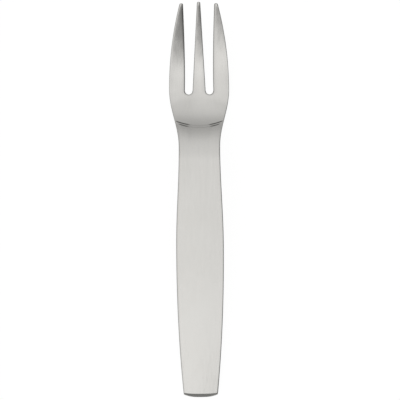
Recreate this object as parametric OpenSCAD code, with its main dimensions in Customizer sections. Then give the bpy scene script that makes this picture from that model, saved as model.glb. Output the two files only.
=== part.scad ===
// Pastry fork with three tines, forged and pressed from one bar of stainless steel.
// X runs across the fork, Y from the end of the handle to the tines, and Z up from the table.
// The origin is under the middle of the fork, on the table that it lies on.

/* [Overall] */
// Length from the end of the handle to the tip of the middle tine
fork_length = 154.5; // [145:0.5:170]
// Height of the underside above the table at the top of the arch
arch_height = 9; // [6:0.1:12]
// Height of the underside above the table at the tips of the tines
tip_rise = 9.3; // [6:0.1:12]
// Radius that softens every edge
edge_radius = 0.4; // [0.2:0.05:0.45]

/* [Handle] */
// Width of the handle at its widest
handle_width = 18.6; // [15:0.1:22]
// Width across the corners at the end of the handle
end_width = 13.2; // [10:0.1:15]
// Width of the neck at its narrowest
neck_width = 16.1; // [11:0.1:18]
// Thickness of the handle
handle_thickness = 2.4; // [2:0.05:3.2]
// Thickness of the neck at the top of the arch
neck_thickness = 2.6; // [2:0.05:3.6]
// How far the handle's upper face falls from its middle to its sides
handle_crown = 0.25; // [0:0.05:0.5]
// How far the end of the handle bulges out between its corners
end_bulge = 0.9; // [0.4:0.05:1.2]
// Length of the sloping face that closes the end of the handle
end_bevel = 1.35; // [1:0.05:2.5]
// Height of the blunt edge under the middle of that sloping face
end_lip = 0.9; // [0.85:0.05:1.2]
// Radius of the two corners at the end of the handle, seen from above
end_corner = 0.6; // [0.3:0.05:1]
// Length of the flat under the end of the handle, which rests on the table
land_length = 4; // [3:0.1:8]

/* [Head] */
// Length of the head from the crease at its back to the tip of the middle tine
head_length = 48.5; // [45:0.1:55]
// Width of the head at its widest
head_width = 23.5; // [20:0.1:27]
// Distance from the tips back to the place where the head is widest
head_widest_back = 34; // [30:0.1:38]
// Distance from the tips back to the lowest line of the head, which rests on the table
heel_back = 35.5; // [33:0.1:37.5]
// Distance from the crease back to the narrowest part of the neck
neck_back = 8; // [6:0.1:12]
// Distance from the crease back to the top of the arch
arch_back = 13; // [11:0.1:18]
// Depth that polishing takes off under the heel, which leaves a small flat there
heel_polish = 0.1; // [0.05:0.01:0.2]
// Distance from the crease back to the steepest place of the neck's underside
bend_back = 0.35; // [0:0.05:2]
// Thickness of the bowl at the heel
bowl_thickness = 1.9; // [1.5:0.05:2.5]
// How far the sides of the head stand above its middle
bowl_depth = 1.8; // [1:0.05:2.6]
// Distance over which the bowl deepens ahead of the crease
bowl_run = 18; // [12:0.1:22]
// How far the ends of the crease lie ahead of its middle
crease_bow = 2; // [1:0.1:3]
// Height of the small double step that the crease makes at each side
crease_step = 0.16; // [0.1:0.02:0.4]
// How high the step still is in the middle of the fork, as a share of its height at the sides
crease_middle = 0.08; // [0:0.02:0.3]
// How far the upper side falls at the soft shoulder that crosses the neck behind the crease
shoulder_drop = 0.16; // [0:0.01:0.2]
// Length of the shoulder
shoulder_length = 4.3; // [3:0.1:5]
// Distance from the crease back to the middle of the shoulder
shoulder_back = 3.9; // [3:0.1:5]
// Length of one riser of the step
riser_length = 0.45; // [0.3:0.05:0.6]
// Distance between the middles of the two risers
riser_spacing = 0.8; // [0.7:0.05:1.2]

/* [Tines] */
// Length of the slots between the tines
tine_length = 35.9; // [32:0.1:37.5]
// Width of the middle tine at its root
middle_root_width = 5.1; // [4:0.1:6]
// Width of the middle tine at its tip
middle_tip_width = 1.3; // [1.2:0.05:1.8]
// Width of a slot at its round root
slot_root_width = 3.05; // [2:0.05:3.3]
// Width of a slot at its mouth
slot_mouth_width = 5.4; // [4:0.1:5.5]
// Width across the tips of the outer tines
tips_width = 14.8; // [14.3:0.1:17]
// How far the outer tines stop short of the middle one
outer_setback = 0.6; // [0:0.05:1.5]
// Thickness of the tines at their tips
tip_thickness = 1.3; // [1.2:0.05:1.6]
// How far the upper face of an outer tine falls from its middle to its sides near the tip
tine_crown = 0.26; // [0:0.02:0.34]
// The same fall on the middle tine, which is flatter
middle_crown = 0.18; // [0:0.02:0.34]
// How far the upper face rolls down at the very tip
tip_roll = 0.14; // [0:0.01:0.2]
// Length of that roll
tip_roll_length = 1.9; // [1:0.1:3]
// Radius of the corners of a tine's tip, seen from above
tip_corner = 0.5; // [0.3:0.05:0.6]

/* [Hidden] */

// Where the handle is widest, as a share of the way from its end to the neck
handle_widest_share = 0.6;
// How abruptly the outline turns in towards the end of the handle and towards the tips
end_turn = 2.15;
tips_turn = 2;
// How abruptly the slots open, and how the side view bends at the arch, neck, bowl and tines
slot_turn = 1.35;
arch_turn = 1.5;
neck_turn = 2.05;
bowl_turn = 2.4;
tine_turn = 1.62;
// How late the tines grow thin on the way to their tips
taper_turn = 4;
// How abruptly the end of the handle curves back towards its corners
end_bend = 3;
// How much of the crease's bow the bend of the neck follows
bend_bow_share = 0.2;
// How soon ahead of the root of the slots the tines take their full crown
crown_haste = 1.4;
middle_crown_haste = 0.9;
// Half the stretch over which the slope of the underside is taken, as a share of the length
slope_probe_share = 0.025;
// How much the sloping end face is rounded
bevel_round_share = 0.1;
// How far behind the slots the mesh turns from the bar's lines to those of the tines, in radii
// of the slots' roots
band_reach = 3;
// The width, in edge radii, below which a tine's rounded edges are narrowed
least_edged_width = 3;
// The stretch of each riser, from the middle of the fork out, as shares of the half width:
// where it starts to grow, is full, starts to fade and is gone
handle_riser_shares = [0.39, 0.55, 0.76, 0.9];
bowl_riser_shares = [0.33, 0.51, 0.88, 0.97];

// Distances from the end of the handle to the places along the fork
crease_at = fork_length - head_length;
neck_at = crease_at - neck_back;
peak_at = crease_at - arch_back;
head_at = fork_length - head_widest_back;
heel_at = fork_length - heel_back;
widest_at = neck_at * handle_widest_share;
slot_radius = slot_root_width / 2;
slot_middle = (middle_root_width + slot_root_width) / 2;
root_at = fork_length - tine_length + slot_radius;
band_at = root_at - band_reach * slot_radius;
roll_at = fork_length - tip_roll_length;
step_reach = (riser_spacing + riser_length) / 2;

// How finely the surface is divided
edge_cells = 3;
slot_cells = 6;
outer_cells = 3;
middle_cells = 2;
corner_rows = 3;
bevel_rows = 2;
handle_rows = 12;
neck_rows = 10;
crease_rows = 10;
bowl_rows = 5;
band_rows = 5;
tine_rows = 11;
roll_rows = 2;

// Cells across an outer tine, across the middle tine and across the whole fork
outer_span = outer_cells + 2 * edge_cells;
middle_span = middle_cells + 2 * edge_cells;
span = 2 * outer_span + 2 * slot_cells + middle_span;

function mix(a, b, t) = a + (b - a) * t;
function limit(t) = min(1, max(0, t));
function ease(t) = (1 - cos(180 * limit(t))) / 2;
function square_of(t) = t * t;

// Depth that an edge or corner of this radius takes away at a distance from its outline
function rounding(radius, distance) =
    radius - sqrt(square_of(radius) - square_of(radius - min(radius, max(0, distance))));

// Places of the mesh lines across a rounded edge, measured in from it
edge_lines = [for (k = [0:edge_cells]) edge_radius * (1 - cos(90 * k / edge_cells))];

// Half width of the outline at a distance along the fork
function half_width(along) =
    along < widest_at ?
        mix(handle_width, end_width, pow(1 - along / widest_at, end_turn)) / 2
    : along < neck_at ?
        mix(handle_width, neck_width, ease((along - widest_at) / (neck_at - widest_at))) / 2
    : along < head_at ?
        mix(neck_width, head_width, ease((along - neck_at) / (head_at - neck_at))) / 2
    : mix(head_width, tips_width, pow((along - head_at) / head_widest_back, tips_turn)) / 2;

// Share of the way along a tine, from the root of the slots to the tips
function tine_share(along) = limit((along - root_at) / (fork_length - root_at));

function middle_half(along) = mix(middle_root_width, middle_tip_width, tine_share(along)) / 2;

function slot_outer(along) =
    middle_half(along)
    + mix(slot_root_width, slot_mouth_width, pow(tine_share(along), slot_turn));

// Height of the bar's underside before it is ground flat on the table.
// The share of the fall behind its steepest place is such that both curves meet at one slope.
crease_share = (arch_back - bend_back) / (heel_at - peak_at);
neck_steepness = neck_turn / crease_share;
bowl_steepness = bowl_turn / (1 - crease_share);
fall_share = bowl_steepness / (neck_steepness + bowl_steepness);

function fall(t) =
    t < crease_share ? fall_share * pow(t / crease_share, neck_turn)
    : 1 - (1 - fall_share) * pow((1 - t) / (1 - crease_share), bowl_turn);

function underside(along) =
    along < peak_at ?
        arch_height * (1 - pow((peak_at - along) / (peak_at - land_length), arch_turn))
    : along < heel_at ?
        mix(arch_height, -heel_polish, fall((along - peak_at) / (heel_at - peak_at)))
    : mix(-heel_polish, tip_rise, pow((along - heel_at) / heel_back, tine_turn));

function thickness(along) =
    along < widest_at ? handle_thickness
    : along < peak_at ?
        mix(handle_thickness, neck_thickness, ease((along - widest_at) / (peak_at - widest_at)))
    : along < heel_at ?
        mix(neck_thickness, bowl_thickness, ease((along - peak_at) / (heel_at - peak_at)))
    : mix(bowl_thickness, tip_thickness, pow((along - heel_at) / heel_back, taper_turn));

// The bar's thickness as measured straight up, where its underside slopes
function upright_thickness(along) =
    let (probe = fork_length * slope_probe_share)
    let (slope = (underside(along + probe) - underside(along - probe)) / (2 * probe))
    thickness(along) * sqrt(1 + slope * slope);

// How far the sides rise in the bowl
function dish(x, place) =
    bowl_depth * square_of(2 * x / head_width) * ease((place - crease_at) / bowl_run);

// How far the upper side has fallen at the shoulder, a fall that fades out towards the tips
function shoulder_fall(along) =
    shoulder_drop * ease((along - crease_at + shoulder_back) / shoulder_length + 1 / 2)
    * (1 - limit((along - crease_at) / head_length));

// How far the upper face of a tine falls from its own middle, and at its tip
function tine_fall(station, x) =
    let (on_middle = abs(x) < middle_half(station))
    let (from = on_middle ? -middle_half(station) : slot_outer(station))
    let (to = on_middle ? middle_half(station) : row_half_width(station))
    let (off = 2 * (abs(x) - mix(from, to, 1 / 2)) / (to - from))
    let (crown = on_middle ? middle_crown : tine_crown)
    let (haste = on_middle ? middle_crown_haste : crown_haste)
    crown * ease(tine_share(station) * haste) * min(1, square_of(off))
        + tip_roll * square_of(1 - limit((fork_length - station) / tip_roll_length));

// How strongly a riser shows at a share of the half width
function riser_strength(share, shares) =
    mix(crease_middle, 1, ease((share - shares[0]) / (shares[1] - shares[0])))
    * (1 - ease((share - shares[2]) / (shares[3] - shares[2])));

// Height of the double step above the bowl, which the two risers bring down to nothing
function step_height(share, ahead) =
    crease_step / 2
    * (riser_strength(share, handle_riser_shares)
            * (1 - ease((ahead + riser_spacing / 2) / riser_length + 1 / 2))
        + riser_strength(share, bowl_riser_shares)
            * (1 - ease((ahead - riser_spacing / 2) / riser_length + 1 / 2)))
    * ease((ahead + neck_back) / neck_back);

// Depth of the sloping face that closes the end of the handle. It slopes alike all across,
// so it falls less at the corners, where the bulge of the end makes it shorter.
function end_fall(station, share) =
    let (t = 1 - limit(station / end_bevel))
    let (shortened = 1 - (bow(0, share) - bow(end_bevel, share)) / end_bevel)
    (top_at_end - end_lip) * shortened
        * ((1 - bevel_round_share) * t + bevel_round_share * t * t);
top_at_end = underside(0) + upright_thickness(0);

// The mesh has a row of points at each station, and a row bows with the end or the crease
stations = concat(
    edge_lines,
    [for (k = [1:bevel_rows]) mix(edge_radius, end_bevel, k / bevel_rows)],
    [land_length],
    [for (k = [1:handle_rows]) mix(land_length, peak_at, k / handle_rows)],
    [for (k = [1:neck_rows]) mix(peak_at, crease_at - step_reach, k / neck_rows)],
    [for (k = [1:crease_rows]) crease_at + mix(-step_reach, step_reach, k / crease_rows)],
    [for (k = [1:bowl_rows]) mix(crease_at + step_reach, band_at, k / bowl_rows)],
    [for (k = [band_rows - 1:-1:0])
        mix(root_at - edge_radius, band_at, square_of(k / band_rows))],
    [for (k = [edge_cells - 1:-1:0]) root_at - edge_lines[k]],
    [for (k = [1:tine_rows]) mix(root_at, roll_at, k / tine_rows)],
    [for (k = [1:roll_rows]) mix(roll_at, fork_length - tip_corner, k / roll_rows)],
    [for (k = [1:corner_rows]) fork_length - tip_corner * (1 - sin(90 * k / corner_rows))]
);
last_row = len(stations) - 1;
root_row = last_row - corner_rows - roll_rows - tine_rows;

// How far a row bows at a share of the half width
function bow(station, share) =
    station < land_length ?
        end_bulge * square_of(1 - station / land_length) * pow(share, end_bend)
    : crease_bow * ease((station - peak_at) / (arch_back - step_reach)) * square_of(share)
        * (1 - ease((station - crease_at - step_reach) / (band_at - crease_at - step_reach)));

// Half width of a row, with the corners at the end of the handle rounded
function row_half_width(station) =
    half_width(station + bow(station, 1)) - rounding(end_corner, station);

// Mesh lines across one tine or the whole bar, close together at both of its edges
function edged_lines(from, to, cells) =
    let (squeeze = min(1, (to - from) / (least_edged_width * edge_radius)))
    let (inset = squeeze * edge_radius)
    concat(
        [for (k = [0:edge_cells]) from + squeeze * edge_lines[k]],
        [for (k = [1:cells - 1]) mix(from + inset, to - inset, k / cells)],
        [for (k = [edge_cells:-1:0]) to - squeeze * edge_lines[k]]
    );

// Mesh lines inside a slot, which divide its round root evenly
function slot_lines(from, to) =
    [for (k = [1:slot_cells - 1]) mix(from, to, (1 - cos(180 * k / slot_cells)) / 2)];

function tine_lines(station) =
    let (cut = rounding(tip_corner, fork_length - station))
    let (outer = row_half_width(station))
    let (inner = slot_outer(station))
    let (middle = middle_half(station))
    concat(
        edged_lines(-outer + cut, -inner - cut, outer_cells),
        slot_lines(-inner, -middle),
        edged_lines(-middle + cut, middle - cut, middle_cells),
        slot_lines(middle, inner),
        edged_lines(inner + cut, outer - cut, outer_cells)
    );

function bar_lines(station) =
    edged_lines(-row_half_width(station), row_half_width(station), span - 2 * edge_cells);

function lines_across(station) =
    let (t = ease((station - crease_at - step_reach) / (band_at - crease_at - step_reach)))
    let (bar = bar_lines(station))
    let (tines = tine_lines(station))
    [for (i = [0:span]) mix(bar[i], tines[i], t)];

function slot_centre(station) = mix(middle_half(station), slot_outer(station), 1 / 2);

// How far the round root of a slot lies behind its centre
function root_sagitta(x) =
    sqrt(max(0, square_of(slot_radius) - square_of(abs(x) - slot_middle)));

// Distance along the fork of a point of the mesh
function along_at(station, x) =
    station + bow(station, abs(x) / row_half_width(station))
    - root_sagitta(x) * limit((station - band_at) / (root_at - edge_radius - band_at))
        * (station <= root_at ? 1 : 0)
    - (abs(x) > slot_centre(station) ? outer_setback * square_of(tine_share(station)) : 0);

// Distance from a point of the mesh to the nearest edge that its side of the bar has
function edge_distance(station, x, along) =
    let (cut = rounding(tip_corner, fork_length - station))
    let (side = row_half_width(station) - cut - abs(x))
    let (slot =
        station < root_at ?
            norm([abs(x) - slot_middle, along - root_at]) - slot_radius
        : max(abs(x) - slot_outer(station) - cut, middle_half(station) - cut - abs(x)))
    min(side, slot, fork_length - station);

// Place along the middle of the fork whose height a point takes
function level_place(along, station, share) = along - bend_bow_share * bow(station, share);

function upper_point(station, x) =
    let (along = along_at(station, x))
    let (share = abs(x) / row_half_width(station))
    let (place = level_place(along, station, share))
    let (flatness = ease((peak_at - place) / (peak_at - widest_at)))
    [
        x,
        along - fork_length / 2,
        underside(place) + upright_thickness(place) + dish(x, place)
            + step_height(share, along - bow(station, share) - crease_at)
            - shoulder_fall(along)
            - handle_crown * flatness * share * share
            - tine_fall(station, x)
            - end_fall(station, share)
            - rounding(edge_radius, edge_distance(station, x, along))
    ];

function lower_point(station, x) =
    let (along = along_at(station, x))
    let (place = level_place(along, station, abs(x) / row_half_width(station)))
    [
        x,
        along - fork_length / 2,
        max(0, underside(place) + dish(x, place))
            + rounding(edge_radius, min(station, edge_distance(station, x, along)))
    ];

// A cell is steel unless it lies in one of the two slots
function in_slot(column) =
    (column >= outer_span && column < outer_span + slot_cells)
    || (column >= span - outer_span - slot_cells && column < span - outer_span);

function is_steel(row, column) =
    row >= 0 && row < last_row && column >= 0 && column < span
    && (row < root_row || !in_slot(column));

function upper_index(row, column) = row * (span + 1) + column;
function lower_index(row, column) = upper_index(row, column) + (last_row + 1) * (span + 1);

// The wall under the edge from one upper point to another
function wall(row_a, column_a, row_b, column_b) = [
    upper_index(row_a, column_a),
    upper_index(row_b, column_b),
    lower_index(row_b, column_b),
    lower_index(row_a, column_a)
];

// The faces of one cell: upper and lower face, and a wall wherever no steel adjoins
function cell_faces(row, column) = concat(
    [[
        upper_index(row, column),
        upper_index(row + 1, column),
        upper_index(row + 1, column + 1),
        upper_index(row, column + 1)
    ]],
    [[
        lower_index(row, column),
        lower_index(row, column + 1),
        lower_index(row + 1, column + 1),
        lower_index(row + 1, column)
    ]],
    is_steel(row - 1, column) ? [] : [wall(row, column, row, column + 1)],
    is_steel(row + 1, column) ? [] : [wall(row + 1, column + 1, row + 1, column)],
    is_steel(row, column - 1) ? [] : [wall(row + 1, column, row, column)],
    is_steel(row, column + 1) ? [] : [wall(row, column + 1, row + 1, column + 1)]
);

module fork() {
    upper = [for (s = stations) for (x = lines_across(s)) upper_point(s, x)];
    lower = [for (s = stations) for (x = lines_across(s)) lower_point(s, x)];
    faces = [
        for (row = [0:last_row - 1])
        for (column = [0:span - 1])
        if (is_steel(row, column))
        for (face = cell_faces(row, column)) face
    ];
    color([0.82, 0.82, 0.8]) polyhedron(points = concat(upper, lower), faces = faces);
}

fork();
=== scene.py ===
"""Pastry fork in satin stainless steel, on a plain white studio table.

The fork is one piece. It starts as a grid, whose columns run along the handle and tines and
whose rows run across them. The slots are cut out of the grid, and it is extruded into a flat
bar. Both sides of the bar then take the fork's shape with its rounded edges, and one level of
subdivision makes the surface smooth.
"""

import math

import bpy
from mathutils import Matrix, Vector


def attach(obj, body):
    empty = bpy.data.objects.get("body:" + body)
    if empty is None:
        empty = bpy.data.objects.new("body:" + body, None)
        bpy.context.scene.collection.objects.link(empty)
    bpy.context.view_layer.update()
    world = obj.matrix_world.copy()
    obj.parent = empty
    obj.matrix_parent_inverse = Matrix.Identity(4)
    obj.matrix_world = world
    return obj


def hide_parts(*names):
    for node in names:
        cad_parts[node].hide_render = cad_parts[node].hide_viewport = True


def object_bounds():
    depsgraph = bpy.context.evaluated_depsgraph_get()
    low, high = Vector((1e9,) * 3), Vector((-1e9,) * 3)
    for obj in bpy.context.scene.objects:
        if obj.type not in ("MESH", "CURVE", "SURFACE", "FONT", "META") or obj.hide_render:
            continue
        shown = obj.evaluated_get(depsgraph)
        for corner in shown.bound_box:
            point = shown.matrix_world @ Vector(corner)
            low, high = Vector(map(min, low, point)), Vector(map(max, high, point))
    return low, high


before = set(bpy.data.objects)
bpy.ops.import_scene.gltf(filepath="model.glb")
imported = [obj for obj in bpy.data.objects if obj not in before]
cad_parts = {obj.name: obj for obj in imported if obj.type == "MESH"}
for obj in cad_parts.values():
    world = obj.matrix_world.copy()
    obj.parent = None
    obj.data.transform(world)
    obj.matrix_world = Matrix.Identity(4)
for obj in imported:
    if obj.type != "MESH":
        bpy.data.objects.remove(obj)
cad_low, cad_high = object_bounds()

bl_info = {
    "name": "Pastry Fork",
    "version": (1, 0, 0),
    "blender": (4, 5, 0),
    "location": "View3D > Sidebar > Pastry Fork",
    "description": "Models a satin stainless steel pastry fork and its studio stage",
    "category": "Add Mesh",
}

MM = 0.001
NODE_NAME = "fork"
BODY_NAME = "root"
PIECE_NAME = "pastry_fork"
# Edge wear and painted shade: a lower roughness from burnish, and a darker colour that stands in
# for the edges' dark reflection
EDGE_WEAR_AND_SHADE_ATTRIBUTE = "edge_wear_and_shade"
HOLLOW_ATTRIBUTE = "hollow_polish"
# Painted shade: the crease's two lines darken the steel's colour where shade and dark reflection
# fall at its steps
CREASE_SHADE_ATTRIBUTE = "crease_painted_shade"

# Columns of the grid: each rounded edge, each outer tine, each slot and the middle tine
EDGE_COLUMNS = 3
OUTER_COLUMNS = 4 + 2 * EDGE_COLUMNS
SLOT_COLUMNS = 6
MIDDLE_COLUMNS = 3 + 2 * EDGE_COLUMNS
ALL_COLUMNS = 2 * OUTER_COLUMNS + 2 * SLOT_COLUMNS + MIDDLE_COLUMNS

# How far the edge wear and its painted shade reach in from an edge, in edge radii
WEAR_AND_SHADE_REACH = 2.5
# How far the polished hollow reaches along the fork, as a share of the heel's distance to the tips
HOLLOW_SHARE = 0.6

# Scale of each pattern along the fork, which draws it out into lines. Across the fork it is 1.
GRAIN_STRETCH = 0.02
STREAK_STRETCH = 0.03
SCRATCH_STRETCH = 0.06
SMUDGE_SCALE = 75.0
STREAK_SCALE = 1300.0
SCRATCH_SCALE = 1600.0
SCRATCH_ANGLE = math.radians(7.0)
# The levels of the noise between which a scratch fades in
SCRATCH_START, SCRATCH_FULL = 0.70, 0.76

# What each pattern adds to the roughness, and about what they add in all, which comes off first
GRAIN_ROUGHNESS = 0.10
SMUDGE_ROUGHNESS = 0.05
STREAK_ROUGHNESS = 0.06
EDGE_ROUGHNESS = -0.07
HOLLOW_ROUGHNESS = -0.03
SCRATCH_ROUGHNESS = 0.08
MEAN_ADDED_ROUGHNESS = 0.09

# Pairs of a factor for the streaks and an offset that keeps their average near zero
STREAK_TONE = (0.6, -0.3)
STREAK_LEAN = (0.05, -0.025)
SCRATCH_RELIEF = -0.6
RELIEF_STRENGTH = 0.25
RELIEF_DEPTH = 0.004 * MM
DARK_TONE_SHARE = 0.95
SMUDGED_TINT = (0.965, 0.965, 0.96, 1.0)
CLEAN_TINT = (1.0, 1.0, 1.0, 1.0)
# Painted shade: the darker colour along the edges, which stands in for their dark reflection
EDGE_SHADE_COLOR = (0.6, 0.59, 0.57, 1.0)
# Painted shade: the dark colour of the crease's two lines
CREASE_SHADE_COLOR = (0.06, 0.058, 0.055, 1.0)

TABLE_SIZE = 6.0
TABLE_GLOW = 1.08
TABLE_GLOW_SHARE = 0.88
PHOTO_SIZE = 400.0
FORK_IN_PHOTO = 393.7
CAMERA_SHIFT = (0.1 * MM, 0.05 * MM)
CAMERA_TURN = math.radians(-0.33)
CAMERA_LENS = 300.0
CAMERA_SENSOR = 36.0
CAMERA_REACH = 20.0

# Grey levels of the surroundings by direction, from the handle's end (-1) to the tips (1)
LENGTHWISE = (
    (-1.0, 0.25), (-0.95, 0.2), (-0.9, 0.17), (-0.8, 0.20), (-0.7, 0.24), (-0.63, 0.29),
    (-0.58, 0.38), (-0.53, 0.51), (-0.47, 0.71), (-0.41, 0.905), (-0.37, 0.98),
    (-0.31, 0.99), (-0.28, 0.965), (-0.25, 0.93), (-0.2, 0.90), (-0.1, 0.875),
    (0.0, 0.86), (0.25, 0.81), (0.39, 0.785), (0.54, 0.765), (0.68, 0.73),
    (0.79, 0.69), (0.88, 0.62), (0.94, 0.545), (1.0, 0.435),
)
# The same from the left (-1) to the right (1), by which those levels are multiplied
CROSSWISE = (
    (-1.0, 0.42), (-0.8, 0.80), (-0.5, 0.94), (-0.3, 0.985), (-0.1, 1.015),
    (0.0, 0.995), (0.04, 0.965), (0.09, 0.95), (0.18, 0.98), (0.3, 0.965),
    (0.5, 0.91), (0.7, 0.36), (0.85, 0.13), (1.0, 0.08),
)
# Towards the handle's end these levels shift sideways, more on the right than on the left
TURN_BOTH_SIDES = 0.15
TURN_STRENGTH = -0.155
TURN_FADE = -2.5
# Towards the tips both sides are dimmed, up to a largest sideways direction
DIM_LARGEST = 0.35
DIM_STRENGTH = -0.4
DIM_FADE = 5.0


def mix(a, b, t):
    return a + (b - a) * t


def limit(t):
    return min(1.0, max(0.0, t))


def ease(t):
    return (1.0 - math.cos(math.pi * limit(t))) / 2.0


def rounding(radius, distance):
    """Depth that a rounded edge or corner takes away at a distance from its outline."""
    reach = radius - min(radius, max(0.0, distance))
    return radius - math.sqrt(max(0.0, radius * radius - reach * reach))


class FORK_PG_sizes(bpy.types.PropertyGroup):
    """Sizes of the pastry fork"""

    length: bpy.props.FloatProperty(
        name="Length",
        description="From the end of the handle to the tip of the middle tine",
        default=cad_high[1] - cad_low[1],
        subtype="DISTANCE",
        unit="LENGTH",
    )
    handle_width: bpy.props.FloatProperty(
        name="Handle Width",
        description="Width of the handle at its widest",
        default=18.6 * MM,
        subtype="DISTANCE",
        unit="LENGTH",
    )
    end_width: bpy.props.FloatProperty(
        name="End Width",
        description="Width across the corners at the end of the handle",
        default=13.2 * MM,
        subtype="DISTANCE",
        unit="LENGTH",
    )
    neck_width: bpy.props.FloatProperty(
        name="Neck Width",
        description="Width of the neck at its narrowest",
        default=16.1 * MM,
        subtype="DISTANCE",
        unit="LENGTH",
    )
    head_width: bpy.props.FloatProperty(
        name="Head Width",
        description="Width of the head at its widest",
        default=cad_high[0] - cad_low[0],
        subtype="DISTANCE",
        unit="LENGTH",
    )
    tips_width: bpy.props.FloatProperty(
        name="Tips Width",
        description="Width across the tips of the outer tines",
        default=14.8 * MM,
        subtype="DISTANCE",
        unit="LENGTH",
    )
    tine_length: bpy.props.FloatProperty(
        name="Tine Length",
        description="Length of the slots between the tines",
        default=35.9 * MM,
        subtype="DISTANCE",
        unit="LENGTH",
    )
    bowl_depth: bpy.props.FloatProperty(
        name="Bowl Depth",
        description="How far the sides of the head stand above its middle",
        default=1.8 * MM,
        subtype="DISTANCE",
        unit="LENGTH",
    )
    crease_step: bpy.props.FloatProperty(
        name="Crease Step",
        description="Height of the double step that the crease makes at each side",
        default=0.16 * MM,
        subtype="DISTANCE",
        unit="LENGTH",
    )
    edge_radius: bpy.props.FloatProperty(
        name="Edge Radius",
        description="Radius that softens every edge",
        default=0.4 * MM,
        subtype="DISTANCE",
        unit="LENGTH",
    )


class FORK_PG_finish(bpy.types.PropertyGroup):
    """Colours and finish of the steel"""

    steel_color: bpy.props.FloatVectorProperty(
        name="Steel",
        description="Colour that the steel gives to what it reflects",
        default=(0.764, 0.752, 0.724),
        subtype="COLOR",
        min=0.0,
        max=1.0,
    )
    roughness: bpy.props.FloatProperty(
        name="Roughness",
        description="Roughness of the satin polish",
        default=0.13,
        min=0.0,
        max=1.0,
        subtype="FACTOR",
    )
    grain_width: bpy.props.FloatProperty(
        name="Grain Width",
        description="Width of one line of the lengthwise polishing grain",
        default=0.12 * MM,
        subtype="DISTANCE",
        unit="LENGTH",
    )
    floor_color: bpy.props.FloatVectorProperty(
        name="Floor",
        description="Colour of the studio table",
        default=(0.9, 0.9, 0.89),
        subtype="COLOR",
        min=0.0,
        max=1.0,
    )


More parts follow.
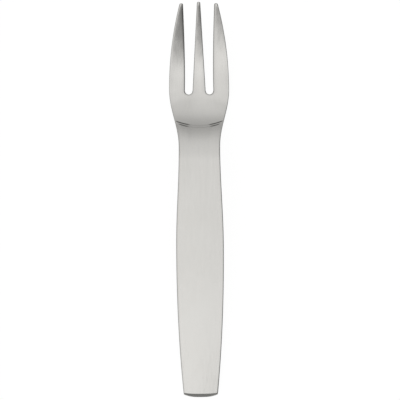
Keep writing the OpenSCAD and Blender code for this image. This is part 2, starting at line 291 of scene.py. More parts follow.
class ForkForm:
    """The fork's surfaces as heights over places along and across it, in metres."""

    arch_height = 9.0 * MM
    tip_rise = 9.3 * MM
    heel_polish = 0.1 * MM
    handle_thickness = 2.4 * MM
    neck_thickness = 2.6 * MM
    bowl_thickness = 1.9 * MM
    tip_thickness = 1.3 * MM
    handle_crown = 0.25 * MM
    end_bulge = 0.9 * MM
    end_bevel = 1.35 * MM
    end_lip = 0.9 * MM
    end_corner = 0.6 * MM
    land_length = 4.0 * MM
    head_length = 48.5 * MM
    head_widest_back = 34.0 * MM
    heel_back = 35.5 * MM
    neck_back = 8.0 * MM
    arch_back = 13.0 * MM
    bowl_run = 18.0 * MM
    shoulder_drop = 0.16 * MM
    shoulder_length = 4.3 * MM
    shoulder_back = 3.9 * MM
    bend_back = 0.35 * MM
    neck_turn = 2.05
    bowl_turn = 2.4
    crease_bow = 2.0 * MM
    crease_middle = 0.08
    bend_bow = 0.2
    riser_length = 0.45 * MM
    riser_spacing = 0.8 * MM
    middle_root_width = 5.1 * MM
    middle_tip_width = 1.3 * MM
    slot_root_width = 3.05 * MM
    slot_mouth_width = 5.4 * MM
    outer_setback = 0.6 * MM
    tip_corner = 0.5 * MM
    tip_roll = 0.14 * MM
    tip_roll_length = 1.9 * MM
    tine_crown = 0.26 * MM
    middle_crown = 0.18 * MM
    crown_haste = 1.4
    middle_crown_haste = 0.9
    handle_riser = (0.39, 0.55, 0.76, 0.90)
    bowl_riser = (0.33, 0.51, 0.88, 0.97)
    widest_share = 0.6
    probe_share = 0.025
    end_slope_share = 0.9
    band_reach = 3.0
    least_edged_width = 3.0

    # Powers that say how sharply each curve turns
    end_turn = 2.15
    arch_turn = 1.5
    rise_turn = 1.62
    thinning_turn = 4
    slot_turn = 1.35

    # The crease's two painted shade lines, a dark colour that stands in for shade at its steps
    line_reach = 0.8
    handle_line_strength = 0.9

    # Rows of the grid in each stretch, from the end of the handle to the tips
    bevel_rows = 3
    ridge_rows = 2
    land_rows = 4
    handle_rows = 26
    neck_rows = 12
    crease_rows = 18
    bowl_rows = 8
    root_rows = 6
    tine_rows = 25
    roll_rows = 5
    corner_rows = 4
    ridge = 0.06 * MM
    ridge_reach = 4.0
    crease_reach = 1.3
    root_step = 0.4 * MM

    def __init__(self, sizes):
        self.length = sizes.length
        self.handle_width = sizes.handle_width
        self.end_width = sizes.end_width
        self.neck_width = sizes.neck_width
        self.head_width = sizes.head_width
        self.tips_width = sizes.tips_width
        self.bowl_depth = sizes.bowl_depth
        self.crease_step = sizes.crease_step
        self.edge_radius = sizes.edge_radius
        self.crease_at = self.length - self.head_length
        self.neck_at = self.crease_at - self.neck_back
        self.peak_at = self.crease_at - self.arch_back
        self.head_at = self.length - self.head_widest_back
        self.heel_at = self.length - self.heel_back
        self.widest_at = self.neck_at * self.widest_share
        self.slot_radius = self.slot_root_width / 2.0
        self.slot_middle = (self.middle_root_width + self.slot_root_width) / 2.0
        self.root_at = self.length - sizes.tine_length + self.slot_radius
        self.band_at = self.root_at - self.band_reach * self.slot_radius
        self.step_reach = (self.riser_spacing + self.riser_length) / 2.0
        self.crease_share = (self.arch_back - self.bend_back) / (self.heel_at - self.peak_at)
        neck_steepness = self.neck_turn / self.crease_share
        bowl_steepness = self.bowl_turn / (1.0 - self.crease_share)
        self.fall_share = bowl_steepness / (neck_steepness + bowl_steepness)
        self.edge_lines = [
            self.edge_radius * (1.0 - math.cos(math.pi / 2.0 * k / EDGE_COLUMNS))
            for k in range(EDGE_COLUMNS + 1)
        ]
        self.end_height = self.underside(0.0) + self.upright_thickness(0.0)
        self.stations = self.make_stations()
        self.root_row = self.stations.index(self.root_at)

    def half_width(self, along):
        if along < self.widest_at:
            turn = (1.0 - along / self.widest_at) ** self.end_turn
            return mix(self.handle_width, self.end_width, turn) / 2.0
        if along < self.neck_at:
            share = (along - self.widest_at) / (self.neck_at - self.widest_at)
            return mix(self.handle_width, self.neck_width, ease(share)) / 2.0
        if along < self.head_at:
            share = (along - self.neck_at) / (self.head_at - self.neck_at)
            return mix(self.neck_width, self.head_width, ease(share)) / 2.0
        share = (along - self.head_at) / self.head_widest_back
        return mix(self.head_width, self.tips_width, share**2) / 2.0

    def tine_share(self, along):
        return limit((along - self.root_at) / (self.length - self.root_at))

    def middle_half(self, along):
        return mix(self.middle_root_width, self.middle_tip_width, self.tine_share(along)) / 2.0

    def slot_outer(self, along):
        share = self.tine_share(along) ** self.slot_turn
        gap = mix(self.slot_root_width, self.slot_mouth_width, share)
        return self.middle_half(along) + gap

    def fall(self, t):
        if t < self.crease_share:
            return self.fall_share * (t / self.crease_share) ** self.neck_turn
        rest = (1.0 - t) / (1.0 - self.crease_share)
        return 1.0 - (1.0 - self.fall_share) * rest**self.bowl_turn

    def underside(self, along):
        if along < self.peak_at:
            share = (self.peak_at - along) / (self.peak_at - self.land_length)
            return self.arch_height * (1.0 - share**self.arch_turn)
        if along < self.heel_at:
            share = (along - self.peak_at) / (self.heel_at - self.peak_at)
            return mix(self.arch_height, -self.heel_polish, self.fall(share))
        share = (along - self.heel_at) / self.heel_back
        return mix(-self.heel_polish, self.tip_rise, share**self.rise_turn)

    def thickness(self, along):
        if along < self.widest_at:
            return self.handle_thickness
        if along < self.peak_at:
            share = (along - self.widest_at) / (self.peak_at - self.widest_at)
            return mix(self.handle_thickness, self.neck_thickness, ease(share))
        if along < self.heel_at:
            share = (along - self.peak_at) / (self.heel_at - self.peak_at)
            return mix(self.neck_thickness, self.bowl_thickness, ease(share))
        share = (along - self.heel_at) / self.heel_back
        return mix(self.bowl_thickness, self.tip_thickness, share**self.thinning_turn)

    def upright_thickness(self, along):
        probe = self.length * self.probe_share
        rise = self.underside(along + probe) - self.underside(along - probe)
        return self.thickness(along) * math.hypot(1.0, rise / (2.0 * probe))

    def dish(self, x, place):
        depth = self.bowl_depth * (2.0 * x / self.head_width) ** 2
        return depth * ease((place - self.crease_at) / self.bowl_run)

    def shoulder_fall(self, along):
        """How far the upper side has fallen at the soft shoulder behind the crease."""
        past = (along - self.crease_at + self.shoulder_back) / self.shoulder_length + 0.5
        fade = 1.0 - limit((along - self.crease_at) / self.head_length)
        return self.shoulder_drop * ease(past) * fade

    def tine_fall(self, station, x):
        """How far the upper face of a tine falls from its own middle, and at its tip."""
        middle = self.middle_half(station)
        if abs(x) < middle:
            start, end = -middle, middle
            crown, haste = self.middle_crown, self.middle_crown_haste
        else:
            start, end = self.slot_outer(station), self.row_half_width(station)
            crown, haste = self.tine_crown, self.crown_haste
        off = 2.0 * (abs(x) - (start + end) / 2.0) / (end - start)
        crown *= ease(self.tine_share(station) * haste) * min(1.0, off * off)
        past = 1.0 - limit((self.length - station) / self.tip_roll_length)
        return crown + self.tip_roll * past * past

    def riser_strength(self, share, shares):
        start, full, fades, gone = shares
        rise = mix(self.crease_middle, 1.0, ease((share - start) / (full - start)))
        return rise * (1.0 - ease((share - fades) / (gone - fades)))

    def step_height(self, share, ahead):
        """Height of the crease's double step over the bowl, which two risers bring to nothing."""
        first = 1.0 - ease((ahead + self.riser_spacing / 2.0) / self.riser_length + 0.5)
        second = 1.0 - ease((ahead - self.riser_spacing / 2.0) / self.riser_length + 0.5)
        height = self.riser_strength(share, self.handle_riser) * first
        height += self.riser_strength(share, self.bowl_riser) * second
        return self.crease_step / 2.0 * height * ease((ahead + self.neck_back) / self.neck_back)

    def crease_shade(self, share, ahead):
        """How strongly a place on the upper side shows the crease's two painted shade lines."""
        half = self.riser_length * self.line_reach
        first = 1.0 - limit(abs(ahead + self.riser_spacing / 2.0) / half)
        second = 1.0 - limit(abs(ahead - self.riser_spacing / 2.0) / half)
        handle_line = self.handle_line_strength * self.riser_strength(share, self.handle_riser)
        bowl_line = self.riser_strength(share, self.bowl_riser)
        return handle_line * ease(first) + bowl_line * ease(second)

    def end_fall(self, station, share):
        """Depth of the sloping face at the end, which slopes alike all across the fork."""
        t = 1.0 - limit(station / self.end_bevel)
        shortening = (self.bow(0.0, share) - self.bow(self.end_bevel, share)) / self.end_bevel
        fall = (self.end_height - self.end_lip) * (1.0 - shortening)
        return fall * mix(t * t, t, self.end_slope_share)

    def make_stations(self):
        """Distances of the rows from the end of the handle, close where the form turns."""

        def spread(start, end, count):
            return [mix(start, end, k / count) for k in range(1, count + 1)]

        foot = self.end_bevel + self.ridge_reach * self.ridge
        crease_start = self.crease_at - self.crease_reach * self.step_reach
        crease_end = self.crease_at + self.crease_reach * self.step_reach
        roll_at = self.length - self.tip_roll_length
        stations = list(self.edge_lines)
        stations += spread(self.edge_radius, self.end_bevel - self.ridge, self.bevel_rows)
        stations += spread(
            self.end_bevel - self.ridge, self.end_bevel + self.ridge, self.ridge_rows
        )
        stations += [foot]
        stations += spread(foot, self.land_length, self.land_rows)
        stations += spread(self.land_length, self.peak_at, self.handle_rows)
        stations += spread(self.peak_at, crease_start, self.neck_rows)
        stations += spread(crease_start, crease_end, self.crease_rows)
        stations += spread(crease_end, self.band_at, self.bowl_rows)
        stations += [
            mix(self.root_at - self.edge_radius, self.band_at, (k / self.root_rows) ** 2)
            for k in reversed(range(self.root_rows))
        ]
        stations += [self.root_at - line for line in reversed(self.edge_lines[:-1])]
        stations += [self.root_at + self.root_step]
        stations += spread(self.root_at + self.root_step, roll_at, self.tine_rows)
        stations += spread(roll_at, self.length - self.tip_corner, self.roll_rows)
        turns = [math.pi / 2.0 * k / self.corner_rows for k in range(1, self.corner_rows + 1)]
        stations += [self.length - self.tip_corner * (1.0 - math.sin(turn)) for turn in turns]
        return stations

    def bow(self, station, share):
        if station < self.land_length:
            return self.end_bulge * (1.0 - station / self.land_length) ** 2 * share**3
        rise = ease((station - self.peak_at) / (self.arch_back - self.step_reach))
        start = self.crease_at + self.step_reach
        fade = 1.0 - ease((station - start) / (self.band_at - start))
        return self.crease_bow * share * share * rise * fade

    def row_half_width(self, station):
        width = self.half_width(station + self.bow(station, 1.0))
        return width - rounding(self.end_corner, station)

    def edged_lines(self, start, end, cells):
        """Lines across one tine or the whole bar, close together at both of its edges."""
        squeeze = min(1.0, (end - start) / (self.least_edged_width * self.edge_radius))
        inset = squeeze * self.edge_radius
        lines = [start + squeeze * line for line in self.edge_lines]
        lines += [mix(start + inset, end - inset, k / cells) for k in range(1, cells)]
        lines += [end - squeeze * line for line in reversed(self.edge_lines)]
        return lines

    def slot_lines(self, start, end):
        """Lines inside a slot, which divide its round root evenly."""
        return [
            mix(start, end, (1.0 - math.cos(math.pi * k / SLOT_COLUMNS)) / 2.0)
            for k in range(1, SLOT_COLUMNS)
        ]

    def lines_across(self, station):
        """Places of the grid's lines across the fork at one row."""
        half = self.row_half_width(station)
        cut = rounding(self.tip_corner, self.length - station)
        inner, middle = self.slot_outer(station), self.middle_half(station)
        outer_cells = OUTER_COLUMNS - 2 * EDGE_COLUMNS
        bar = self.edged_lines(-half, half, ALL_COLUMNS - 2 * EDGE_COLUMNS)
        tines = self.edged_lines(-half + cut, -inner - cut, outer_cells)
        tines += self.slot_lines(-inner, -middle)
        tines += self.edged_lines(-middle + cut, middle - cut, MIDDLE_COLUMNS - 2 * EDGE_COLUMNS)
        tines += self.slot_lines(middle, inner)
        tines += self.edged_lines(inner + cut, half - cut, outer_cells)
        start = self.crease_at + self.step_reach
        t = ease((station - start) / (self.band_at - start))
        return [mix(a, b, t) for a, b in zip(bar, tines)]

    def along_at(self, station, x):
        share = abs(x) / self.row_half_width(station)
        along = station + self.bow(station, share)
        if station <= self.root_at:
            off = abs(x) - self.slot_middle
            sagitta = math.sqrt(max(0.0, self.slot_radius**2 - off * off))
            band = self.root_at - self.edge_radius - self.band_at
            along -= sagitta * limit((station - self.band_at) / band)
        if abs(x) > (self.middle_half(station) + self.slot_outer(station)) / 2.0:
            along -= self.outer_setback * self.tine_share(station) ** 2
        return along

    def edge_distance(self, station, x, along):
        """Distance from a grid point to the nearest edge of the side that it lies on."""
        cut = rounding(self.tip_corner, self.length - station)
        side = self.row_half_width(station) - cut - abs(x)
        if station < self.root_at:
            slot = math.hypot(abs(x) - self.slot_middle, along - self.root_at)
            slot -= self.slot_radius
        else:
            inner, middle = self.slot_outer(station), self.middle_half(station)
            slot = max(abs(x) - inner - cut, middle - cut - abs(x))
        return max(0.0, min(side, slot, self.length - station))

    def point(self, station, x, is_upper):
        """Place of a grid point, with its distance to the nearest edge and its crease's painted
        shade.
        """
        along = self.along_at(station, x)
        share = abs(x) / self.row_half_width(station)
        bow = self.bow(station, share)
        ahead = along - bow - self.crease_at
        place = along - self.bend_bow * bow
        distance = self.edge_distance(station, x, along)
        height = self.underside(place) + self.dish(x, place)
        line = 0.0
        if is_upper:
            flatness = ease((self.peak_at - place) / (self.peak_at - self.widest_at))
            height += self.upright_thickness(place) + self.step_height(share, ahead)
            height -= self.handle_crown * flatness * share * share + self.shoulder_fall(along)
            height -= self.tine_fall(station, x) + self.end_fall(station, share)
            height -= rounding(self.edge_radius, distance)
            # Painted shade: how strongly the crease's dark lines colour this point
            line = self.crease_shade(share, ahead)
        else:
            distance = min(station, distance)
            height = max(0.0, height) + rounding(self.edge_radius, distance)
        return Vector((x, along - self.length / 2.0, height)), min(station, distance), line

    def in_slot(self, row, column):
        if row < self.root_row:
            return False
        left = OUTER_COLUMNS <= column < OUTER_COLUMNS + SLOT_COLUMNS
        right = OUTER_COLUMNS <= ALL_COLUMNS - 1 - column < OUTER_COLUMNS + SLOT_COLUMNS
        return left or right


def deselect_all():
    bpy.ops.object.select_all(action="DESELECT")


def add_grid(form):
    """Adds the grid and gives each of its points the row and column that it lies in."""
    rows = len(form.stations) - 1
    bpy.ops.mesh.primitive_grid_add(x_subdivisions=ALL_COLUMNS, y_subdivisions=rows, size=1.0)
    piece = bpy.context.object
    piece.name = PIECE_NAME
    mesh = piece.data
    mesh.name = PIECE_NAME
    mesh.attributes.new("row", "INT", "POINT")
    mesh.attributes.new("column", "INT", "POINT")
    row_of = [round((vertex.co.y + 0.5) * rows) for vertex in mesh.vertices]
    column_of = [round((vertex.co.x + 0.5) * ALL_COLUMNS) for vertex in mesh.vertices]
    mesh.attributes["row"].data.foreach_set("value", row_of)
    mesh.attributes["column"].data.foreach_set("value", column_of)
    return piece


def cut_slots(piece, form):
    """Deletes the grid's faces between the tines."""
    mesh = piece.data
    rows = [item.value for item in mesh.attributes["row"].data]
    columns = [item.value for item in mesh.attributes["column"].data]
    bpy.ops.object.mode_set(mode="EDIT")
    bpy.ops.mesh.select_mode(type="FACE")
    bpy.ops.mesh.select_all(action="DESELECT")
    bpy.ops.object.mode_set(mode="OBJECT")
    for face in mesh.polygons:
        row = min(rows[i] for i in face.vertices)
        column = min(columns[i] for i in face.vertices)
        face.select = form.in_slot(row, column)
    bpy.ops.object.mode_set(mode="EDIT")
    bpy.ops.mesh.delete(type="FACE")
    bpy.ops.object.mode_set(mode="OBJECT")


def thicken(form):
    """Extrudes the sheet into a closed bar, with its upper side left selected."""
    bpy.ops.object.mode_set(mode="EDIT")
    bpy.ops.mesh.select_all(action="SELECT")
    bpy.ops.mesh.extrude_region_move(
        TRANSFORM_OT_translate={"value": (0.0, 0.0, form.handle_thickness)}
    )
    bpy.ops.object.mode_set(mode="OBJECT")


def shape_bar(piece, form):
    """Bends the bar to the fork's shape and marks its hollow, its worn edges and its crease lines,
    both painted darker as shade.
    """
    mesh = piece.data
    rows = [item.value for item in mesh.attributes["row"].data]
    columns = [item.value for item in mesh.attributes["column"].data]
    lines = [form.lines_across(station) for station in form.stations]
    wear_and_shade_reach = WEAR_AND_SHADE_REACH * form.edge_radius
    hollow_length = form.heel_back * HOLLOW_SHARE
    marks = {EDGE_WEAR_AND_SHADE_ATTRIBUTE: [], HOLLOW_ATTRIBUTE: [], CREASE_SHADE_ATTRIBUTE: []}
    for vertex in mesh.vertices:
        row, column = rows[vertex.index], columns[vertex.index]
        station, x = form.stations[row], lines[row][column]
        vertex.co, distance, line = form.point(station, x, vertex.select)
        # Edge wear and painted shade, strongest right at the edges
        marks[EDGE_WEAR_AND_SHADE_ATTRIBUTE].append((1.0 - limit(distance / wear_and_shade_reach)) ** 2)
        marks[CREASE_SHADE_ATTRIBUTE].append(line)
        off_length = (station - form.heel_at) / hollow_length
        off_width = x / (form.head_width * 0.5)
        marks[HOLLOW_ATTRIBUTE].append(limit(1.0 - math.hypot(off_length, off_width)) ** 0.5)
    for name in marks:
        mesh.attributes.new(name, "FLOAT", "POINT")
    for name, values in marks.items():
        mesh.attributes[name].data.foreach_set("value", values)
    mesh.update()
    bpy.ops.object.mode_set(mode="EDIT")
    bpy.ops.mesh.select_all(action="SELECT")
    bpy.ops.mesh.normals_make_consistent(inside=False)
    bpy.ops.object.mode_set(mode="OBJECT")


def smooth_surface(piece):
    mesh = piece.data
    mesh.attributes.remove(mesh.attributes["row"])
    mesh.attributes.remove(mesh.attributes["column"])
    smooth = piece.modifiers.new("smooth_surface", "SUBSURF")
    smooth.levels = 1
    smooth.render_levels = 1
    bpy.ops.object.modifier_apply(modifier=smooth.name)
    bpy.ops.object.shade_smooth()


def add_node(tree, kind, location, **values):
    node = tree.nodes.new(kind)
    node.location = location
    for name, value in values.items():
        setattr(node, name, value)
    return node


def steel_material(finish):
    """Satin stainless steel: fine lengthwise grain, soft smudges, burnished edges; edges and
    crease lines painted darker as shade.
    """
    material = bpy.data.materials.new("satin_stainless_steel")
    material.use_nodes = True
    tree = material.node_tree
    tree.nodes.clear()
    link = tree.links.new
    output = add_node(tree, "ShaderNodeOutputMaterial", (900, 0))
    steel = add_node(tree, "ShaderNodeBsdfPrincipled", (600, 0))
    steel.inputs["Metallic"].default_value = 1.0
    link(steel.outputs["BSDF"], output.inputs["Surface"])
    place = add_node(tree, "ShaderNodeTexCoord", (-1300, 0))

    grain_place = add_node(tree, "ShaderNodeMapping", (-1100, 200))
    grain_place.inputs["Scale"].default_value = (1.0, GRAIN_STRETCH, 1.0)
    link(place.outputs["Object"], grain_place.inputs["Vector"])
    grain = add_node(tree, "ShaderNodeTexNoise", (-900, 200))
    grain.inputs["Scale"].default_value = 1.0 / finish.grain_width
    grain.inputs["Detail"].default_value = 4.0
    grain.inputs["Roughness"].default_value = 0.6
    link(grain_place.outputs["Vector"], grain.inputs["Vector"])

    smudge = add_node(tree, "ShaderNodeTexNoise", (-900, -100))
    smudge.inputs["Scale"].default_value = SMUDGE_SCALE
    smudge.inputs["Detail"].default_value = 3.0
    link(place.outputs["Object"], smudge.inputs["Vector"])

    streak_place = add_node(tree, "ShaderNodeMapping", (-1100, 700))
    streak_place.inputs["Scale"].default_value = (1.0, STREAK_STRETCH, 1.0)
    link(place.outputs["Object"], streak_place.inputs["Vector"])
    streak = add_node(tree, "ShaderNodeTexNoise", (-900, 700))
    streak.inputs["Scale"].default_value = STREAK_SCALE
    streak.inputs["Detail"].default_value = 2.0
    link(streak_place.outputs["Vector"], streak.inputs["Vector"])

    line = add_node(tree, "ShaderNodeAttribute", (-150, 700), attribute_name=CREASE_SHADE_ATTRIBUTE)
    edge = add_node(tree, "ShaderNodeAttribute", (-900, -350), attribute_name=EDGE_WEAR_AND_SHADE_ATTRIBUTE)
    bowl = add_node(tree, "ShaderNodeAttribute", (-900, -550), attribute_name=HOLLOW_ATTRIBUTE)

    scratch_place = add_node(tree, "ShaderNodeMapping", (-1100, -800))
    scratch_place.inputs["Scale"].default_value = (1.0, SCRATCH_STRETCH, 1.0)
    scratch_place.inputs["Rotation"].default_value = (0.0, 0.0, SCRATCH_ANGLE)
    link(place.outputs["Object"], scratch_place.inputs["Vector"])
    scratch = add_node(tree, "ShaderNodeTexNoise", (-900, -800))
    scratch.inputs["Scale"].default_value = SCRATCH_SCALE
    scratch.inputs["Detail"].default_value = 1.0
    link(scratch_place.outputs["Vector"], scratch.inputs["Vector"])
    scratch_line = add_node(tree, "ShaderNodeMapRange", (-700, -800))
    scratch_line.inputs["From Min"].default_value = SCRATCH_START
    scratch_line.inputs["From Max"].default_value = SCRATCH_FULL
    link(scratch.outputs["Fac"], scratch_line.inputs["Value"])

    def add_scaled(value, factor, total, y):
        step = add_node(tree, "ShaderNodeMath", (-300, y), operation="MULTIPLY_ADD")
        step.inputs[1].default_value = factor
        link(value, step.inputs[0])
        if isinstance(total, float):
            step.inputs[2].default_value = total
        else:
            link(total, step.inputs[2])
        return step.outputs["Value"]

    least_rough = finish.roughness - MEAN_ADDED_ROUGHNESS
    rough = add_scaled(grain.outputs["Fac"], GRAIN_ROUGHNESS, least_rough, -100)
    rough = add_scaled(smudge.outputs["Fac"], SMUDGE_ROUGHNESS, rough, -200)
    rough = add_scaled(streak.outputs["Fac"], STREAK_ROUGHNESS, rough, -250)
    rough = add_scaled(edge.outputs["Fac"], EDGE_ROUGHNESS, rough, -300)
    rough = add_scaled(bowl.outputs["Fac"], HOLLOW_ROUGHNESS, rough, -400)
    rough = add_scaled(scratch_line.outputs["Result"], SCRATCH_ROUGHNESS, rough, -500)
    link(rough, steel.inputs["Roughness"])

    tone = add_node(tree, "ShaderNodeValToRGB", (-500, 450))
    dark = [DARK_TONE_SHARE * channel for channel in finish.steel_color]
    tone.color_ramp.elements[0].position = 0.3
    tone.color_ramp.elements[0].color = (*dark, 1.0)
    tone.color_ramp.elements[1].position = 0.65
    tone.color_ramp.elements[1].color = (*finish.steel_color, 1.0)
    mixed = add_scaled(streak.outputs["Fac"], *STREAK_TONE, 600)
    link(add_scaled(grain.outputs["Fac"], 1.0, mixed, 500), tone.inputs["Fac"])
    cloud = add_node(tree, "ShaderNodeMix", (-150, 400), data_type="RGBA", blend_type="MULTIPLY")
    cloud.inputs["Factor"].default_value = 1.0
    cloud_tone = add_node(tree, "ShaderNodeValToRGB", (-500, 200))
    cloud_tone.color_ramp.elements[0].position = 0.3
    cloud_tone.color_ramp.elements[0].color = SMUDGED_TINT
    cloud_tone.color_ramp.elements[1].position = 0.7
    cloud_tone.color_ramp.elements[1].color = CLEAN_TINT
    link(smudge.outputs["Fac"], cloud_tone.inputs["Fac"])
    link(tone.outputs["Color"], cloud.inputs["A"])
    link(cloud_tone.outputs["Color"], cloud.inputs["B"])
    # Painted shade: the edges are darkened in colour
    edge_shaded = add_node(tree, "ShaderNodeMix", (100, 400), data_type="RGBA", blend_type="MIX")
    edge_shaded.inputs["B"].default_value = EDGE_SHADE_COLOR
    link(edge.outputs["Fac"], edge_shaded.inputs["Factor"])
    link(cloud.outputs["Result"], edge_shaded.inputs["A"])
    # Painted shade: the crease's lines darken the steel's colour
    crease_shaded = add_node(tree, "ShaderNodeMix", (350, 400), data_type="RGBA", blend_type="MIX")
    crease_shaded.inputs["B"].default_value = CREASE_SHADE_COLOR
    link(line.outputs["Fac"], crease_shaded.inputs["Factor"])
    link(edge_shaded.outputs["Result"], crease_shaded.inputs["A"])
    link(crease_shaded.outputs["Result"], steel.inputs["Base Color"])

    relief = add_scaled(scratch_line.outputs["Result"], SCRATCH_RELIEF, grain.outputs["Fac"], 0)
    bump = add_node(tree, "ShaderNodeBump", (300, -200))
    bump.inputs["Strength"].default_value = RELIEF_STRENGTH
    bump.inputs["Distance"].default_value = RELIEF_DEPTH
    link(relief, bump.inputs["Height"])

    # Polishing also leaves long shallow hollows, which lean a little along the fork
    lean = add_node(tree, "ShaderNodeCombineXYZ", (0, -600))
    link(add_scaled(streak.outputs["Fac"], *STREAK_LEAN, -600), lean.inputs["Y"])
    turned = add_node(
        tree,
        "ShaderNodeVectorTransform",
        (200, -600),
        vector_type="VECTOR",
        convert_from="OBJECT",
        convert_to="WORLD",
    )
    link(lean.outputs["Vector"], turned.inputs["Vector"])
    leaning = add_node(tree, "ShaderNodeVectorMath", (400, -600), operation="ADD")
    link(bump.outputs["Normal"], leaning.inputs[0])
    link(turned.outputs["Vector"], leaning.inputs[1])
    normal = add_node(tree, "ShaderNodeVectorMath", (600, -600), operation="NORMALIZE")
    link(leaning.outputs["Vector"], normal.inputs[0])
    link(normal.outputs["Vector"], steel.inputs["Normal"])
    return material


def floor_material(color):
    """White table that keeps the fork's soft shadow."""
    material = bpy.data.materials.new("studio_table")
    material.use_nodes = True
    tree = material.node_tree
    tree.nodes.clear()
    link = tree.links.new
    output = add_node(tree, "ShaderNodeOutputMaterial", (600, 0))
    matte = add_node(tree, "ShaderNodeBsdfDiffuse", (0, 100))
    matte.inputs["Color"].default_value = (*color, 1.0)
    white = add_node(tree, "ShaderNodeEmission", (0, -100))
    white.inputs["Color"].default_value = (1.0, 1.0, 1.0, 1.0)
    white.inputs["Strength"].default_value = TABLE_GLOW
    ray = add_node(tree, "ShaderNodeLightPath", (-500, 200))
    share = add_node(tree, "ShaderNodeMath", (-250, 200), operation="MULTIPLY")
    share.inputs[1].default_value = TABLE_GLOW_SHARE
    link(ray.outputs["Is Camera Ray"], share.inputs[0])
    blend = add_node(tree, "ShaderNodeMixShader", (300, 0))
    link(share.outputs["Value"], blend.inputs["Fac"])
    link(matte.outputs["BSDF"], blend.inputs[1])
    link(white.outputs["Emission"], blend.inputs[2])
    link(blend.outputs["Shader"], output.inputs["Surface"])
    return material


def fill_ramp(ramp, stops):
    """Sets a ramp's grey levels from pairs of place and level."""
    elements = ramp.color_ramp.elements
    while len(elements) > 1:
        elements.remove(elements[-1])
    elements[0].position = stops[0][0]
    elements[0].color = (stops[0][1],) * 3 + (1.0,)
    for position, level in stops[1:]:
        element = elements.new(position)
        element.color = (level,) * 3 + (1.0,)


def light_world():
    """Grey surroundings for the steel to reflect, which the camera itself sees as white."""
    world = bpy.data.worlds.new("studio_surroundings")
    bpy.context.scene.world = world
    world.use_nodes = True
    tree = world.node_tree
    tree.nodes.clear()
    link = tree.links.new
    output = add_node(tree, "ShaderNodeOutputWorld", (900, 0))
    place = add_node(tree, "ShaderNodeTexCoord", (-900, 0))
    parts = add_node(tree, "ShaderNodeSeparateXYZ", (-700, 0))
    link(place.outputs["Generated"], parts.inputs["Vector"])

    def ramp_over(value, levels, y):
        centred = add_node(tree, "ShaderNodeMath", (-500, y), operation="MULTIPLY_ADD")
        centred.inputs[1].default_value = 0.5
        centred.inputs[2].default_value = 0.5
        link(value, centred.inputs[0])
        ramp = add_node(tree, "ShaderNodeValToRGB", (-300, y))
        fill_ramp(ramp, [((direction + 1) / 2, level) for direction, level in levels])
        link(centred.outputs["Value"], ramp.inputs["Fac"])
        return ramp.outputs["Color"]

    sideways = add_node(tree, "ShaderNodeMath", (-900, 400), operation="ABSOLUTE")
    link(parts.outputs["X"], sideways.inputs[0])
    lean = add_node(tree, "ShaderNodeMath", (-750, 400), operation="MULTIPLY_ADD")
    lean.inputs[1].default_value = TURN_BOTH_SIDES
    link(sideways.outputs["Value"], lean.inputs[0])
    link(parts.outputs["X"], lean.inputs[2])
    near = add_node(tree, "ShaderNodeMath", (-750, 600), operation="MULTIPLY", use_clamp=True)
    near.inputs[1].default_value = TURN_FADE
    link(parts.outputs["Y"], near.inputs[0])
    shift = add_node(tree, "ShaderNodeMath", (-600, 500), operation="MULTIPLY")
    link(lean.outputs["Value"], shift.inputs[0])
    link(near.outputs["Value"], shift.inputs[1])
    turned = add_node(tree, "ShaderNodeMath", (-450, 400), operation="MULTIPLY_ADD")
    turned.inputs[1].default_value = TURN_STRENGTH
    link(shift.outputs["Value"], turned.inputs[0])
    link(parts.outputs["Y"], turned.inputs[2])
    long_level = ramp_over(turned.outputs["Value"], LENGTHWISE, 200)
    cross_level = ramp_over(parts.outputs["X"], CROSSWISE, -200)
    level = add_node(tree, "ShaderNodeMix", (0, 0), data_type="RGBA", blend_type="MULTIPLY")
    level.inputs["Factor"].default_value = 1.0
    link(long_level, level.inputs["A"])
    link(cross_level, level.inputs["B"])
    aside = add_node(tree, "ShaderNodeMath", (-750, 900), operation="MINIMUM")
    aside.inputs[1].default_value = DIM_LARGEST
    link(sideways.outputs["Value"], aside.inputs[0])
    far = add_node(tree, "ShaderNodeMath", (-750, 750), operation="MULTIPLY", use_clamp=True)
    far.inputs[1].default_value = DIM_FADE
    link(parts.outputs["Y"], far.inputs[0])
    corner = add_node(tree, "ShaderNodeMath", (-600, 800), operation="MULTIPLY")
    link(aside.outputs["Value"], corner.inputs[0])
    link(far.outputs["Value"], corner.inputs[1])
    dimmed = add_node(tree, "ShaderNodeMath", (-450, 800), operation="MULTIPLY_ADD")
    dimmed.inputs[1].default_value = DIM_STRENGTH
    dimmed.inputs[2].default_value = 1.0
    link(corner.outputs["Value"], dimmed.inputs[0])
    studio = add_node(tree, "ShaderNodeBackground", (300, 100))
    link(level.outputs["Result"], studio.inputs["Color"])
    link(dimmed.outputs["Value"], studio.inputs["Strength"])
    white = add_node(tree, "ShaderNodeBackground", (300, -100))
    white.inputs["Color"].default_value = (1.0, 1.0, 1.0, 1.0)
    ray = add_node(tree, "ShaderNodeLightPath", (300, 400))
    pick = add_node(tree, "ShaderNodeMixShader", (600, 0))
    link(ray.outputs["Is Camera Ray"], pick.inputs["Fac"])
    link(studio.outputs["Background"], pick.inputs[1])
    link(white.outputs["Background"], pick.inputs[2])
    link(pick.outputs["Shader"], output.inputs["Surface"])


class FORK_OT_body(bpy.types.Operator):
    """Model the fork, from the end of its handle to the tips of its tines"""

    bl_idname = "fork.body"
    bl_label = "Fork"
    bl_options = {"REGISTER", "UNDO"}

    def execute(self, context):
        form = ForkForm(context.scene.fork_sizes)
        deselect_all()
        piece = add_grid(form)
        cut_slots(piece, form)
        thicken(form)
        shape_bar(piece, form)
        smooth_surface(piece)
        piece.data.materials.append(steel_material(context.scene.fork_finish))
        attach(piece, BODY_NAME)
        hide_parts(NODE_NAME)
        return {"FINISHED"}


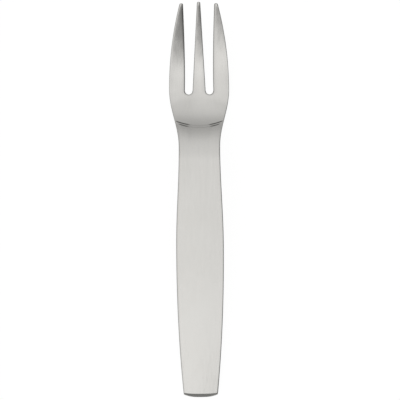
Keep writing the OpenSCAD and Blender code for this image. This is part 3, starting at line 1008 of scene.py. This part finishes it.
class FORK_OT_stage(bpy.types.Operator):
    """Set up the white table, the soft light and the camera straight above the fork"""

    bl_idname = "fork.stage"
    bl_label = "Studio Stage"
    bl_options = {"REGISTER", "UNDO"}

    def execute(self, context):
        scene = context.scene
        deselect_all()
        bpy.ops.mesh.primitive_plane_add(size=TABLE_SIZE)
        table = context.object
        table.name = "studio_table"
        table.data.materials.append(floor_material(scene.fork_finish.floor_color))
        light_world()
        scene.view_settings.view_transform = "Standard"

        visible = scene.fork_sizes.length * PHOTO_SIZE / FORK_IN_PHOTO
        distance = visible * CAMERA_LENS / CAMERA_SENSOR
        bpy.ops.object.camera_add(location=(*CAMERA_SHIFT, distance))
        camera = context.object
        camera.rotation_euler = (0.0, 0.0, CAMERA_TURN)
        camera.name = "photo_camera"
        camera.data.lens = CAMERA_LENS
        camera.data.sensor_width = CAMERA_SENSOR
        camera.data.clip_end = CAMERA_REACH
        camera.data.dof.use_dof = False
        scene.camera = camera
        return {"FINISHED"}


class FORK_PT_panel(bpy.types.Panel):
    """Lists the fork's sizes, finish and steps"""

    bl_idname = "FORK_PT_panel"
    bl_label = "Pastry Fork"
    bl_space_type = "VIEW_3D"
    bl_region_type = "UI"
    bl_category = "Pastry Fork"

    def draw(self, context):
        layout = self.layout
        for group in (context.scene.fork_sizes, context.scene.fork_finish):
            column = layout.column()
            for name in group.__annotations__:
                column.prop(group, name)
        layout.operator(FORK_OT_body.bl_idname)
        layout.operator(FORK_OT_stage.bl_idname)


CLASSES = (FORK_PG_sizes, FORK_PG_finish, FORK_OT_body, FORK_OT_stage, FORK_PT_panel)


def register():
    for cls in CLASSES:
        bpy.utils.register_class(cls)
    bpy.types.Scene.fork_sizes = bpy.props.PointerProperty(type=FORK_PG_sizes)
    bpy.types.Scene.fork_finish = bpy.props.PointerProperty(type=FORK_PG_finish)


def unregister():
    del bpy.types.Scene.fork_finish
    del bpy.types.Scene.fork_sizes
    for cls in reversed(CLASSES):
        bpy.utils.unregister_class(cls)


def main():
    register()
    bpy.ops.fork.body()
    bpy.ops.fork.stage()


if __name__ == "__main__":
    main()
